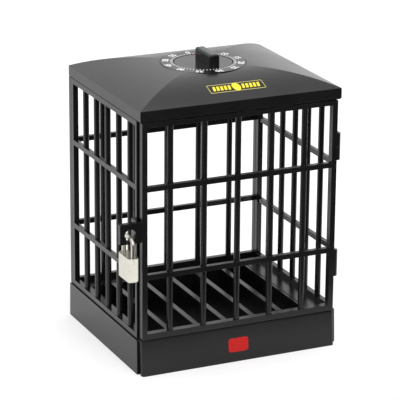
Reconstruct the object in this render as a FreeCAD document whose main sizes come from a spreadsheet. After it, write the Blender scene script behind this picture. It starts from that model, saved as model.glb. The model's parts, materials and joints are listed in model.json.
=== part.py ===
"""A timed lock container: a barred cage with a hasp, a padlock and a wind-up timer in its lid.

Millimetres. X runs to the right along the barred door, the door looks to -Y, Z is up.
The origin is the centre of the underside, on the surface that the container stands on.
"""
import FreeCAD, Part
import math
import os
import Sketcher

NODES = "parts"
os.makedirs(NODES, exist_ok=True)

# Driving dimensions, one sheet cell each
SIZES = {
    # outside of the case
    "case_width": 133.0,
    "case_depth": 114.2,
    "base_height": 22.2,
    "cage_height": 137.6,
    "band_height": 7.0,
    "roof_rise": 9.55,
    "roof_run_side": 46.5,
    "roof_run_front": 40.0,
    "shell_wall": 2.2,
    "base_stand": 0.85,
    "base_flare": 0.25,
    "tray_lean": 0.8,
    "fascia_lean": 1.7,
    "fascia_foot": 3.4,
    "fascia_seat": 7.2,
    "seam_depth": 0.6,
    "seam_height": 0.45,
    "corner_round": 1.6,
    "fit_gap": 0.2,
    # base
    "deck_thickness": 2.2,
    "plate_thickness": 2.0,
    "fascia_thickness": 4.4,
    "fascia_proud": 0.5,
    "fascia_skin": 1.8,
    "fascia_inset_left": 0.3,
    "fascia_inset_right": 1.9,
    "ridge_width": 3.4,
    "end_slot_width": 13.8,
    "slot_margin_left": 8.9,
    "slot_margin_right": 16.5,
    "rack_end_inset": 11.5,
    "rack_wall": 1.6,
    "rack_floor_level": 6.0,
    "ridge_drop": 0.3,
    "rack_flange": 3.0,
    "rack_flange_thickness": 1.4,
    "pad_radius": 5.5,
    "pad_thickness": 1.2,
    # screws
    "screw_radius": 1.0,
    "screw_head_radius": 2.1,
    "screw_head_height": 1.0,
    "screw_length": 9.0,
    "pilot_gap": 0.05,
    "boss_radius": 2.6,
    "boss_web": 1.6,
    "base_screw_reach": 30.0,
    "boss_inset_side": 10.5,
    "boss_inset_front": 11.1,
    # barred panels
    "panel_thickness": 3.4,
    "stile_width": 3.5,
    "jamb_stile": 2.35,
    "panel_rail_height": 3.2,
    "panel_rail_thickness": 2.6,
    "panel_rail_end": 3.3,
    "bar_radius": 1.85,
    "side_bar_pitch": 17.65,
    "side_bar_shift": 0.95,
    "bar_setback": 0.5,
    "low_rail_rise": 40.7,
    "high_rail_rise": 96.1,
    "jamb_gap": 1.6,
    # door
    "door_thickness": 4.4,
    "door_inset_left": 1.1,
    "door_inset_right": 2.2,
    "door_gap": 0.5,
    "door_stile": 3.4,
    "door_top_rail": 2.9,
    "door_bottom_rail": 3.8,
    "door_rail_height": 3.2,
    "door_bar_pitch": 22.3,
    "door_bar_shift": 1.2,
    "door_bar_radius": 1.9,
    # hinges
    "hinge_offset": 0.5,
    "barrel_radius": 2.3,
    "barrel_length": 17.0,
    "barrel_gap": 0.3,
    "low_hinge_rise": 23.4,
    "high_hinge_rise": 99.1,
    "hinge_pin_radius": 0.85,
    "pin_gap": 0.06,
    "pin_head_radius": 1.4,
    "pin_head_height": 0.5,
    "notch_gap": 0.45,
    # hasp and padlock
    "hasp_reach": 14.3,
    "hasp_height": 12.8,
    "hasp_thickness": 1.4,
    "hasp_rise": 63.6,
    "hasp_gap": 0.25,
    "hasp_hole_radius": 3.6,
    "hasp_hole_inset": 6.6,
    "hasp_hole_rise": 5.6,
    "hasp_leaf_thickness": 1.6,
    "hasp_leaf_length": 7.4,
    "shackle_wire_radius": 1.35,
    "shackle_spread": 14.1,
    "shackle_flat": 4.1,
    "shackle_play": 0.25,
    "shackle_neck": 6.3,
    "toe_depth": 4.0,
    "heel_depth": 11.0,
    "slot_play": 0.6,
    "padlock_shift": 1.5,
    "padlock_width": 17.0,
    "padlock_thickness": 7.1,
    "padlock_height": 15.1,
    "padlock_edge_round": 2.4,
    "plug_radius": 2.2,
    "plug_length": 7.0,
    "keyway_width": 0.8,
    "keyway_length": 3.0,
    "keyway_depth": 4.0,
    "running_gap": 0.06,
    # timer
    "dial_radius": 26.5,
    "dial_thickness": 2.05,
    "dial_floor": 1.0,
    "dial_gap": 0.3,
    "disc_radius": 18.05,
    "disc_gap": 0.5,
    "disc_thickness": 1.6,
    "disc_lift": 0.3,
    "collar_width": 4.6,
    "collar_thickness": 2.4,
    "grip_width": 6.5,
    "grip_height": 8.6,
    "grip_front": 17.6,
    "grip_back": 5.8,
    "grip_round": 1.5,
    "spindle_radius": 2.0,
    "spindle_socket": 4.0,
    "cup_radius": 24.9,
    "cup_wall": 1.4,
    "cup_depth": 22.8,
    "movement_gap": 0.9,
    "movement_plate": 0.8,
    "movement_height": 11.2,
    "movement_drop": 1.1,
    "pillar_radius": 1.4,
    "gear_thickness": 1.0,
    "gear_step": 1.8,
    "train_gap": 0.2,
    "arbor_radius": 0.7,
    "hub_radius": 3.2,
    "barrel_cup_height": 4.0,
    "barrel_cup_wall": 0.6,
    "spring_strip": 0.35,
    "spring_height": 2.8,
    "gong_gap": 1.6,
    "gong_height": 4.6,
    "gong_wall": 0.8,
    "gong_lift": 1.0,
    "hammer_head_radius": 1.1,
    "hammer_gap": 0.7,
}

# Counts of teeth, bars and slots
SLOTS = 6
BARS = 5
MAIN_TEETH = 60
SECOND_PINION_TEETH = 10
SECOND_TEETH = 40
ESCAPE_PINION_TEETH = 8
ESCAPE_TEETH = 16

doc = FreeCAD.newDocument("timed_lock_container")
sheet = doc.addObject("Spreadsheet::Sheet", "sizes")


class Size:
    """A length that keeps its number together with the sheet expression that gives it."""

    def __init__(self, value, text):
        self.value = value
        self.text = text

    def __add__(self, other):
        other = as_size(other)
        return Size(self.value + other.value, f"({self.text} + {other.text})")

    def __radd__(self, other):
        return as_size(other) + self

    def __sub__(self, other):
        other = as_size(other)
        return Size(self.value - other.value, f"({self.text} - {other.text})")

    def __rsub__(self, other):
        return as_size(other) - self

    def __mul__(self, other):
        other = as_size(other)
        return Size(self.value * other.value, f"({self.text} * {other.text})")

    def __rmul__(self, other):
        return as_size(other) * self

    def __truediv__(self, other):
        other = as_size(other)
        return Size(self.value / other.value, f"({self.text} / {other.text})")

    def __neg__(self):
        return Size(-self.value, f"(0 - {self.text})")


def as_size(number):
    """A plain number as a Size, and a Size as it is."""
    if isinstance(number, Size):
        return number
    return Size(float(number), repr(float(number)))


def root_of(size):
    """Square root of a Size."""
    return Size(math.sqrt(size.value), f"sqrt({size.text})")


class Sheet:
    """The driving dimensions by name, each a Size bound to its own cell."""

    def __init__(self, values):
        for row, (name, value) in enumerate(values.items(), start=1):
            sheet.set(f"A{row}", name)
            sheet.set(f"B{row}", str(value))
            sheet.setAlias(f"B{row}", name)
            setattr(self, name, Size(value, f"sizes.{name}"))


s = Sheet(SIZES)
doc.recompute()

# Places that more than one piece shares
half_width = s.case_width / 2
half_depth = s.case_depth / 2
half_base = half_width + s.base_stand
front = -half_depth
cage_top = s.base_height + s.cage_height
band_top = cage_top + s.band_height
roof_top = band_top + s.roof_rise
lid_floor_top = cage_top + s.deck_thickness
door_left = s.door_inset_left - half_width
door_right = half_width - s.door_inset_right
door_back = front + s.door_thickness
jamb = door_back + s.jamb_gap
base_front = front - s.fascia_proud + s.fascia_thickness
low_rail = s.base_height + s.low_rail_rise
high_rail = s.base_height + s.high_rail_rise
hinge_x = door_right + s.hinge_offset
hinge_y = front + s.door_thickness / 2 - s.fascia_proud
hinge_levels = [s.base_height + s.low_hinge_rise, s.base_height + s.high_hinge_rise]
half_barrel = (s.barrel_length - s.barrel_gap) / 2
deck_under = s.base_height - s.deck_thickness
hasp_bottom = s.base_height + s.hasp_rise
hasp_left = door_left - s.hasp_reach
hole_x = hasp_left + s.hasp_hole_inset
hole_z = hasp_bottom + s.hasp_hole_rise
cage_hasp_front = front + s.hasp_thickness + s.hasp_gap
padlock_y = front + s.hasp_thickness + s.hasp_gap / 2 + s.padlock_shift
bow_top = hole_z - s.hasp_hole_radius + s.shackle_wire_radius + s.shackle_play * 2
shackle_bend = (s.shackle_spread - s.shackle_flat) / 2
bow_shoulder = bow_top - shackle_bend
padlock_top = bow_shoulder - s.shackle_neck
plateau_inside = roof_top - s.shell_wall
dial_seat = roof_top - s.dial_thickness
cup_top = dial_seat - s.dial_floor
cup_floor = cup_top - s.cup_depth
movement_top = cup_top - s.movement_drop
movement_bottom = movement_top - s.movement_height
gong_bottom = cup_floor + s.cup_wall + s.gong_lift
movement_radius = s.cup_radius - s.cup_wall - s.movement_gap
pillar_reach = movement_radius - s.pillar_radius - s.fit_gap
gear_module = (movement_radius - s.train_gap) / ((MAIN_TEETH + SECOND_PINION_TEETH + SECOND_TEETH) / 2 + 1)
spring_barrel_radius = gear_module * (MAIN_TEETH / 2 - 1)
gong_radius = pillar_reach - s.pillar_radius - s.gong_gap


def bind(thing, prop, size):
    """Binds a property of a document object to a size."""
    thing.setExpression(prop, as_size(size).text)


def place(thing, x=0, y=0, z=0):
    """Binds the place of a document object."""
    for axis, size in zip("xyz", (x, y, z)):
        bind(thing, f"Placement.Base.{axis}", size)
    return thing


def number(size):
    return as_size(size).value


# Sketches and solids of a body
def new_body(label):
    """An empty body whose label names its node."""
    body = doc.addObject("PartDesign::Body", label)
    body.Label = label
    return body


def origin_feature(body, role):
    return next(f for f in body.Origin.OriginFeatures if f.Role == role)


def new_sketch(body, role, level):
    """A sketch on an origin plane, moved along the world axis across that plane to level."""
    sketch = body.newObject("Sketcher::SketchObject", f"{body.Name}_sketch")
    sketch.AttachmentSupport = [(origin_feature(body, role), "")]
    sketch.MapMode = "FlatFace"
    along = -as_size(level) if role == "XZ_Plane" else as_size(level)
    sketch.AttachmentOffset = FreeCAD.Placement(FreeCAD.Vector(0, 0, along.value), FreeCAD.Rotation())
    bind(sketch, "AttachmentOffset.Base.z", along)
    return sketch


def fix_point(sketch, geometry, end, x, y):
    """Fixes one point of a sketch by its two distances from the sketch's origin."""
    for kind, size in (("DistanceX", x), ("DistanceY", y)):
        index = sketch.addConstraint(Sketcher.Constraint(kind, -1, 1, geometry, end, number(size)))
        sketch.setExpression(f"Constraints[{index}]", as_size(size).text)


def fix_centre(sketch, arc, start, end, centre):
    """Fixes the one freedom that an arc between two fixed points has left."""
    level_chord = abs(number(start[1]) - number(end[1])) < 1e-6
    kind, size = ("DistanceY", centre[1]) if level_chord else ("DistanceX", centre[0])
    index = sketch.addConstraint(Sketcher.Constraint(kind, -1, 1, arc, 3, number(size)))
    sketch.setExpression(f"Constraints[{index}]", as_size(size).text)


def outline(sketch, corners, closed=True):
    """Draws an outline through corners (x, y), closed or left open at its last corner.

    A corner (x, y, centre_x, centre_y) starts an arc about that centre, the short way to the next.
    """
    first = sketch.GeometryCount
    ends = []
    for here, there in zip(corners, corners[1:] + (corners[:1] if closed else [])):
        start = FreeCAD.Vector(number(here[0]), number(here[1]), 0)
        stop = FreeCAD.Vector(number(there[0]), number(there[1]), 0)
        if len(here) == 2:
            sketch.addGeometry(Part.LineSegment(start, stop))
            ends.append((1, 2))
            continue
        centre = FreeCAD.Vector(number(here[2]), number(here[3]), 0)
        to_start, to_stop = start - centre, stop - centre
        turns_left = to_start.cross(to_stop).z > 0
        angles = [math.atan2(v.y, v.x) for v in (to_start, to_stop)]
        if not turns_left:
            angles.reverse()
        circle = Part.Circle(centre, FreeCAD.Vector(0, 0, 1), to_start.Length)
        sketch.addGeometry(Part.ArcOfCircle(circle, angles[0], angles[1]))
        ends.append((1, 2) if turns_left else (2, 1))
    count = len(ends)
    for i, here in enumerate(corners[:count]):
        fix_point(sketch, first + i, ends[i][0], here[0], here[1])
        if not closed and i == count - 1:
            fix_point(sketch, first + i, ends[i][1], corners[-1][0], corners[-1][1])
            continue
        after = (i + 1) % count
        joint = Sketcher.Constraint("Coincident", first + i, ends[i][1], first + after, ends[after][0])
        sketch.addConstraint(joint)
    for i, here in enumerate(corners[:count]):
        if len(here) == 4:
            fix_centre(sketch, first + i, here, corners[(i + 1) % len(corners)], here[2:])


def rectangle(sketch, left, right, bottom, top):
    outline(sketch, [(left, bottom), (right, bottom), (right, top), (left, top)])


def ring(sketch, x, y, radius):
    """Draws one circle."""
    centre = FreeCAD.Vector(number(x), number(y), 0)
    circle = Part.Circle(centre, FreeCAD.Vector(0, 0, 1), number(radius))
    geometry = sketch.addGeometry(circle)
    fix_point(sketch, geometry, 3, x, y)
    index = sketch.addConstraint(Sketcher.Constraint("Radius", geometry, number(radius)))
    sketch.setExpression(f"Constraints[{index}]", as_size(radius).text)


def prism(body, kind, role, low, high, draw):
    """A Pad or a Pocket between two levels of the axis across the plane."""
    adds = kind == "Pad"
    starts_low = adds if role != "XZ_Plane" else not adds
    sketch = new_sketch(body, role, low if starts_low else high)
    draw(sketch)
    feature = body.newObject(f"PartDesign::{kind}", f"{body.Name}_{kind}")
    feature.Profile = (sketch, [""])
    feature.Type = 0
    bind(feature, "Length", as_size(high) - low)
    sketch.Visibility = False
    return feature


def pad(body, role, low, high, draw):
    return prism(body, "Pad", role, low, high, draw)


def pocket(body, role, low, high, draw):
    """A Pocket that has to take material away."""
    doc.recompute()
    before = body.Shape.Volume
    feature = prism(body, "Pocket", role, low, high, draw)
    doc.recompute()
    if body.Shape.Volume > before - 1e-3:
        raise RuntimeError(f"{feature.Name} of {body.Label} cuts nothing")
    return feature


def turned(body, corners):
    """A solid of revolution about the body's own Z axis, from an outline of (radius, level)."""
    sketch = new_sketch(body, "XZ_Plane", 0)
    outline(sketch, corners)
    feature = body.newObject("PartDesign::Revolution", f"{body.Name}_turned")
    feature.Profile = (sketch, [""])
    feature.ReferenceAxis = (sketch, ["V_Axis"])
    feature.Angle = 360
    sketch.Visibility = False
    return feature


def row_of(body, features, axis, length, count):
    """Repeats features along an axis of the body's origin."""
    pattern = body.newObject("PartDesign::LinearPattern", f"{body.Name}_row")
    pattern.Originals = features
    pattern.Direction = (origin_feature(body, axis), [""])
    bind(pattern, "Length", length)
    pattern.Occurrences = count
    body.Tip = pattern
    return pattern


def edges_where(shape, test):
    return [f"Edge{i}" for i, edge in enumerate(shape.Edges, start=1) if test(edge)]


def ease(body, radius, test, kind="Fillet"):
    """Rounds or bevels the edges of the body so far that pass a test."""
    doc.recompute()
    base = body.Tip
    names = edges_where(base.Shape, test)
    if not names:
        raise RuntimeError(f"{body.Label} has no edge to ease")
    feature = body.newObject(f"PartDesign::{kind}", f"{body.Name}_{kind}")
    feature.Base = (base, names)
    bind(feature, "Radius" if kind == "Fillet" else "Size", radius)
    doc.recompute()
    return feature


def upright(edge):
    """Whether an edge is a straight vertical line."""
    if not isinstance(edge.Curve, Part.Line):
        return False
    return abs(edge.tangentAt(edge.FirstParameter).z) > 0.999


def near(number_a, size, tolerance=0.01):
    return abs(number_a - as_size(size).value) < tolerance


# Plain Part solids
def box(name, x, y, z):
    """A box between two levels along each axis."""
    thing = doc.addObject("Part::Box", name)
    for prop, (low, high) in zip(("Length", "Width", "Height"), (x, y, z)):
        bind(thing, prop, as_size(high) - low)
    return place(thing, x[0], y[0], z[0])


def rod(name, radius, x, y, low, high):
    """An upright cylinder between two levels."""
    thing = doc.addObject("Part::Cylinder", name)
    bind(thing, "Radius", radius)
    bind(thing, "Height", as_size(high) - low)
    return place(thing, x, y, low)


def joined(name, pieces):
    thing = doc.addObject("Part::MultiFuse", name)
    thing.Shapes = pieces
    return thing


def cut(name, base, tool):
    thing = doc.addObject("Part::Cut", name)
    thing.Base = base
    thing.Tool = tool
    return thing


def overlap_of(name, pieces):
    thing = doc.addObject("Part::MultiCommon", name)
    thing.Shapes = pieces
    return thing


def group(name, pieces):
    """Separate solids that share one node."""
    thing = doc.addObject("Part::Compound", name)
    thing.Links = pieces
    thing.Label = name
    return thing


NODE_OBJECTS = []


def node(thing, label=None):
    """Marks a document object as one node of the container."""
    if label:
        thing.Label = label
    NODE_OBJECTS.append(thing)
    return thing


# Base
rack_left = s.slot_margin_left - s.rack_wall - half_width
rack_right = half_width - s.slot_margin_right + s.rack_wall
rack_half_length = half_depth - s.rack_end_inset
slot_half_length = rack_half_length - s.rack_wall
middle_slots = rack_left + s.rack_wall + s.end_slot_width + s.ridge_width
slot_pitch = (rack_right - s.rack_wall - s.end_slot_width - middle_slots) / (SLOTS - 2)
base_screw_x = (half_base - s.shell_wall - rack_left + s.fit_gap) / 2
base_screw_places = [(x_side * base_screw_x, y_side * s.base_screw_reach)
                     for x_side in (-1, 1) for y_side in (-1, 1)]
lid_screw_places = [(x_side * (half_width - s.boss_inset_side), y_side * (half_depth - s.boss_inset_front))
                    for x_side in (-1, 1) for y_side in (-1, 1)]
pad_shift = s.pad_radius * 1.8
pad_places = [(x_side * (base_screw_x - pad_shift), y_side * (s.base_screw_reach + pad_shift))
              for x_side in (-1, 1) for y_side in (-1, 1)]
plate_left = s.shell_wall + s.fit_gap - half_base
plate_front = base_front + s.shell_wall + s.fit_gap
plate_back = half_depth - s.shell_wall - s.fit_gap


def base_tray():
    """The base moulding: its walls stand out beyond the cage, its deck has one large opening."""
    body = new_body("base_tray")
    foot = half_base + s.base_flare
    lip = base_front - s.tray_lean

    def flared_wall(sketch):
        outline(sketch, [(-foot, 0), (foot, 0), (half_base, s.base_height), (-half_base, s.base_height)])

    pad(body, "XZ_Plane", lip, half_depth, flared_wall)
    leaning_front = [(lip - 1, 0), (lip, 0), (base_front, s.base_height), (lip - 1, s.base_height)]
    pocket(body, "YZ_Plane", -foot - 1, foot + 1, lambda sketch: outline(sketch, leaning_front))
    pocket(body, "XY_Plane", 0, deck_under, lambda sketch: rectangle(
        sketch, s.shell_wall - half_base, half_base - s.shell_wall,
        base_front + s.shell_wall, half_depth - s.shell_wall))
    opening_y = rack_half_length + s.fit_gap
    pocket(body, "XY_Plane", deck_under, s.base_height, lambda sketch: rectangle(
        sketch, rack_left - s.fit_gap, rack_right + s.fit_gap, -opening_y, opening_y))

    def bosses(sketch):
        for x, y in base_screw_places:
            ring(sketch, x, y, s.boss_radius)

    def webs(sketch):
        for x, y in base_screw_places:
            wall = half_base - s.shell_wall / 2
            ends = (-wall, x) if x.value < 0 else (x, wall)
            rectangle(sketch, *ends, y - s.boss_web / 2, y + s.boss_web / 2)

    def pilots(sketch):
        for x, y in base_screw_places:
            ring(sketch, x, y, s.screw_radius + s.pilot_gap)

    pad(body, "XY_Plane", s.plate_thickness, deck_under, bosses)
    pad(body, "XY_Plane", s.plate_thickness, deck_under, webs)
    pocket(body, "XY_Plane", s.plate_thickness, s.plate_thickness + s.screw_length, pilots)

    def rebate(sketch):
        rectangle(sketch, -half_base - 1, half_base + 1, base_front - 1, half_depth + 1)
        rectangle(sketch, s.seam_depth - half_width, half_width - s.seam_depth,
                  base_front, half_depth - s.seam_depth)

    pocket(body, "XY_Plane", s.base_height - s.seam_height, s.base_height, rebate)
    ease(body, s.corner_round / 3, lambda edge: near(edge.CenterOfMass.y, half_depth)
         and abs(edge.tangentAt(edge.FirstParameter).z) > 0.9)
    return node(body)


def base_front_panel():
    """The fascia in front of the base: a shallow tray, open at its back, that leans out at its foot."""
    body = new_body("base_front_panel")
    left = s.fascia_inset_left - half_width
    right = half_width - s.fascia_inset_right
    face = front - s.fascia_proud
    toe = face - s.fascia_lean
    seat = s.base_height - s.fascia_seat
    seat_back = base_front - s.tray_lean * s.fascia_seat / s.base_height
    skin = s.fascia_skin
    side = [(face, s.base_height), (base_front, s.base_height), (seat_back, seat),
            (toe + s.fascia_foot, 0), (toe, 0)]
    hollow = [(face + skin, s.base_height - skin), (base_front + 1, s.base_height - skin),
              (base_front + 1, skin), (toe + skin, skin)]
    pad(body, "YZ_Plane", left, right, lambda sketch: outline(sketch, side))
    pocket(body, "YZ_Plane", left + skin, right - skin, lambda sketch: outline(sketch, hollow))
    ease(body, s.corner_round, lambda edge: edge.CenterOfMass.y < number(toe + face) / 2 + 0.1
         and abs(edge.tangentAt(edge.FirstParameter).z) > 0.9)
    ease(body, s.corner_round / 3, lambda edge: near(edge.CenterOfMass.y, face, 0.3)
         and near(edge.CenterOfMass.z, s.base_height) and edge.Length > number(half_width))
    return node(body)


def phone_rack():
    """The drop-in rack: slots side by side, hung under the deck by a flange at each end."""
    body = new_body("phone_rack")
    top = s.base_height - s.ridge_drop
    floor = s.rack_floor_level + s.rack_wall
    flange = rack_half_length + s.rack_flange
    first = rack_left + s.rack_wall
    last = rack_right - s.rack_wall
    pad(body, "XY_Plane", s.rack_floor_level, top, lambda sketch: rectangle(
        sketch, rack_left, rack_right, -rack_half_length, rack_half_length))
    pad(body, "XY_Plane", deck_under - s.rack_flange_thickness, deck_under, lambda sketch: rectangle(
        sketch, rack_left, rack_right, -flange, flange))

    def end_slots(sketch):
        rectangle(sketch, first, first + s.end_slot_width, -slot_half_length, slot_half_length)
        rectangle(sketch, last - s.end_slot_width, last, -slot_half_length, slot_half_length)

    pocket(body, "XY_Plane", floor, top, end_slots)
    slot = pocket(body, "XY_Plane", floor, top, lambda sketch: rectangle(
        sketch, middle_slots, middle_slots + slot_pitch - s.ridge_width, -slot_half_length, slot_half_length))
    row_of(body, [slot], "X_Axis", (SLOTS - 3) * slot_pitch, SLOTS - 2)
    return node(body)


def base_bottom_plate():
    """The plate that closes the base from below, countersunk for its screws and sunk for its pads."""
    body = new_body("base_bottom_plate")
    pad(body, "XY_Plane", 0, s.plate_thickness,
        lambda sketch: rectangle(sketch, plate_left, -plate_left, plate_front, plate_back))

    def rings(places, radius):
        def draw(sketch):
            for x, y in places:
                ring(sketch, x, y, radius)
        return draw

    pocket(body, "XY_Plane", 0, s.plate_thickness, rings(base_screw_places, s.screw_radius + s.fit_gap))
    pocket(body, "XY_Plane", 0, s.screw_head_height + s.fit_gap,
           rings(base_screw_places, s.screw_head_radius + s.fit_gap))
    pocket(body, "XY_Plane", 0, s.pad_thickness, rings(pad_places, s.pad_radius + s.fit_gap))
    return node(body)


def rubber_pads():
    """Four round pads, sunk flush in the underside."""
    pads = [rod("rubber_pad", s.pad_radius, x, y, 0, s.pad_thickness) for x, y in pad_places]
    return node(group("rubber_pads", pads))


def screws(label, places, head_bottom):
    """Pan screws driven upwards, head at the bottom."""
    pieces = []
    for x, y in places:
        head = rod("screw_head", s.screw_head_radius, x, y, head_bottom, head_bottom + s.screw_head_height)
        shank = rod("screw_shank", s.screw_radius, x, y, head_bottom, head_bottom + s.screw_length)
        pieces.append(joined("screw", [head, shank]))
    return node(group(label, pieces))


# Barred panels
def frame_outline(low, high, bottom, top, stiles, rails):
    """Draws a frame: its outer rectangle and the opening inside its stiles and rails."""

    def draw(sketch):
        rectangle(sketch, low, high, bottom, top)
        rectangle(sketch, low + stiles[0], high - stiles[1], bottom + rails[0], top - rails[1])

    return draw


def side_grille(label, side):
    """A side panel: flat frame, two flat rails at the outer face and five round bars behind them."""
    body = new_body(label)
    outer = side * half_width
    inner = side * (half_width - s.panel_thickness)
    rail_inner = side * (half_width - s.panel_rail_thickness)
    low, high = (outer, inner) if side < 0 else (inner, outer)
    rail_low, rail_high = (outer, rail_inner) if side < 0 else (rail_inner, outer)
    back = half_depth - s.panel_thickness - s.fit_gap
    pad(body, "YZ_Plane", low, high, frame_outline(
        jamb, back, s.base_height, cage_top, (s.jamb_stile, s.stile_width),
        (s.panel_rail_end, s.panel_rail_end)))
    for level in (low_rail, high_rail):
        pad(body, "YZ_Plane", rail_low, rail_high, lambda sketch: rectangle(
            sketch, jamb + s.jamb_stile / 2, back - s.stile_width / 2,
            level - s.panel_rail_height / 2, level + s.panel_rail_height / 2))
    bar_x = side * (half_width - s.bar_setback - s.bar_radius)
    first = -s.side_bar_shift - (BARS - 1) / 2 * s.side_bar_pitch
    bar = pad(body, "XY_Plane", s.base_height + s.panel_rail_end / 2, cage_top - s.panel_rail_end / 2,
              lambda sketch: ring(sketch, bar_x, first, s.bar_radius))
    row_of(body, [bar], "Y_Axis", (BARS - 1) * s.side_bar_pitch, BARS)
    if side > 0:
        hinge_brackets(body)
    return node(body)


def hinge_brackets(body):
    """Two cage knuckles on the right panel's front stile, each with a web back to the stile."""
    for level in hinge_levels:
        pad(body, "XY_Plane", level, level + half_barrel,
            lambda sketch: ring(sketch, hinge_x, hinge_y, s.barrel_radius))
        pad(body, "XY_Plane", level, level + half_barrel, lambda sketch: rectangle(
            sketch, hinge_x - s.fit_gap, half_width, hinge_y + s.barrel_radius / 4, jamb + s.fit_gap))
        pocket(body, "XY_Plane", level, level + half_barrel,
               lambda sketch: ring(sketch, hinge_x, hinge_y, s.hinge_pin_radius))


def back_grille():
    """The back panel, the full width of the cage."""
    body = new_body("back_grille")
    inner = half_depth - s.panel_thickness
    pad(body, "XZ_Plane", inner, half_depth, frame_outline(
        -half_width, half_width, s.base_height, cage_top, (s.stile_width, s.stile_width),
        (s.panel_rail_end, s.panel_rail_end)))
    for level in (low_rail, high_rail):
        pad(body, "XZ_Plane", half_depth - s.panel_rail_thickness, half_depth, lambda sketch: rectangle(
            sketch, s.stile_width / 2 - half_width, half_width - s.stile_width / 2,
            level - s.panel_rail_height / 2, level + s.panel_rail_height / 2))
    first = -(BARS - 1) / 2 * s.door_bar_pitch
    bar_y = half_depth - s.bar_setback - s.bar_radius
    bar = pad(body, "XY_Plane", s.base_height + s.panel_rail_end / 2, cage_top - s.panel_rail_end / 2,
              lambda sketch: ring(sketch, first, bar_y, s.bar_radius))
    row_of(body, [bar], "X_Axis", (BARS - 1) * s.door_bar_pitch, BARS)
    return node(body)


def cage_hasp():
    """The cage's own hasp tab: a leaf on the left panel and an open-bottomed staple plate."""
    body = new_body("cage_hasp")
    leaf_back = cage_hasp_front + s.hasp_thickness + s.hasp_leaf_length
    pad(body, "XY_Plane", hasp_bottom, hasp_bottom + s.hasp_height, lambda sketch: outline(sketch, [
        (hasp_left, cage_hasp_front), (-half_width, cage_hasp_front), (-half_width, leaf_back),
        (-half_width - s.hasp_leaf_thickness, leaf_back),
        (-half_width - s.hasp_leaf_thickness, cage_hasp_front + s.hasp_thickness),
        (hasp_left, cage_hasp_front + s.hasp_thickness)]))
    back = cage_hasp_front + s.hasp_thickness
    pocket(body, "XZ_Plane", cage_hasp_front, back,
           lambda sketch: ring(sketch, hole_x, hole_z, s.hasp_hole_radius))
    slot_half = s.shackle_wire_radius + s.slot_play
    pocket(body, "XZ_Plane", cage_hasp_front, back, lambda sketch: rectangle(
        sketch, hole_x - slot_half, hole_x + slot_half, hasp_bottom, hole_z))
    return node(body)


# Door
def door_grille():
    """The barred door: flat frame and rails, round bars set back from them, and two knuckles."""
    body = new_body("door_grille")
    bottom = s.base_height + s.door_gap
    top = cage_top - s.door_gap
    pad(body, "XZ_Plane", front, door_back, frame_outline(
        door_left, door_right, bottom, top, (s.door_stile, s.door_stile),
        (s.door_bottom_rail, s.door_top_rail)))
    for level in (low_rail, high_rail):
        pad(body, "XZ_Plane", front, front + s.door_rail_height, lambda sketch: rectangle(
            sketch, door_left + s.door_stile / 2, door_right - s.door_stile / 2,
            level - s.door_rail_height / 2, level + s.door_rail_height / 2))
    middle = (door_left + door_right) / 2 - s.door_bar_shift
    first = middle - (BARS - 1) / 2 * s.door_bar_pitch
    bar_y = front + s.bar_setback + s.door_bar_radius
    bar = pad(body, "XY_Plane", bottom + s.door_bottom_rail / 2, top - s.door_top_rail / 2,
              lambda sketch: ring(sketch, first, bar_y, s.door_bar_radius))
    row_of(body, [bar], "X_Axis", (BARS - 1) * s.door_bar_pitch, BARS)
    for level in hinge_levels:
        knuckle = level + half_barrel + s.barrel_gap
        pocket(body, "XY_Plane", level - s.barrel_gap, knuckle,
               lambda sketch: ring(sketch, hinge_x, hinge_y, s.barrel_radius + s.notch_gap))
        pad(body, "XY_Plane", knuckle, level + s.barrel_length,
            lambda sketch: ring(sketch, hinge_x, hinge_y, s.barrel_radius))
        pocket(body, "XY_Plane", knuckle, level + s.barrel_length,
               lambda sketch: ring(sketch, hinge_x, hinge_y, s.hinge_pin_radius + s.pin_gap))
        head_top = level + s.barrel_length + s.barrel_gap + s.pin_head_height
        pocket(body, "XY_Plane", level + s.barrel_length, head_top + s.fit_gap,
               lambda sketch: ring(sketch, hinge_x, hinge_y, s.pin_head_radius + s.fit_gap))
    return node(body)


def door_hasp():
    """The door's hasp tab with its round hole, seated on the door's left edge."""
    body = new_body("door_hasp")
    back = front + s.hasp_thickness
    pad(body, "XZ_Plane", front, back, lambda sketch: rectangle(
        sketch, hasp_left, door_left, hasp_bottom, hasp_bottom + s.hasp_height))
    pocket(body, "XZ_Plane", front, back,
           lambda sketch: ring(sketch, hole_x, hole_z, s.hasp_hole_radius))
    ease(body, s.corner_round / 2, lambda edge: near(edge.CenterOfMass.x, hasp_left)
         and abs(edge.tangentAt(edge.FirstParameter).y) > 0.99)
    return node(body)


def hinge_pin(label, level):
    """A headed steel pin, pressed into the cage's knuckle and free in the door's."""
    body = new_body(label)
    top = s.barrel_length + s.barrel_gap
    turned(body, [(0, 0), (s.hinge_pin_radius, 0), (s.hinge_pin_radius, top), (s.pin_head_radius, top),
                  (s.pin_head_radius, top + s.pin_head_height), (0, top + s.pin_head_height)])
    place(body, hinge_x, hinge_y, level)
    return node(body)


# Padlock
def padlock_shackle():
    """The shackle: round wire swept up the toe leg, over the bow and down the longer heel leg."""
    body = new_body("padlock_shackle")
    bend = shackle_bend
    shoulder = bow_shoulder
    toe = padlock_y - s.shackle_spread / 2
    heel = padlock_y + s.shackle_spread / 2
    path = new_sketch(body, "YZ_Plane", hole_x)
    outline(path, [(toe, padlock_top - s.toe_depth), (toe, shoulder, toe + bend, shoulder),
                   (toe + bend, bow_top), (heel - bend, bow_top, heel - bend, shoulder),
                   (heel, shoulder), (heel, padlock_top - s.heel_depth)], closed=False)
    section = new_sketch(body, "XY_Plane", padlock_top - s.toe_depth)
    ring(section, hole_x, toe, s.shackle_wire_radius)
    pipe = body.newObject("PartDesign::AdditivePipe", "shackle_wire")
    pipe.Profile = (section, [""])
    pipe.Spine = (path, [""])
    path.Visibility = False
    section.Visibility = False
    return node(body)


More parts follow.
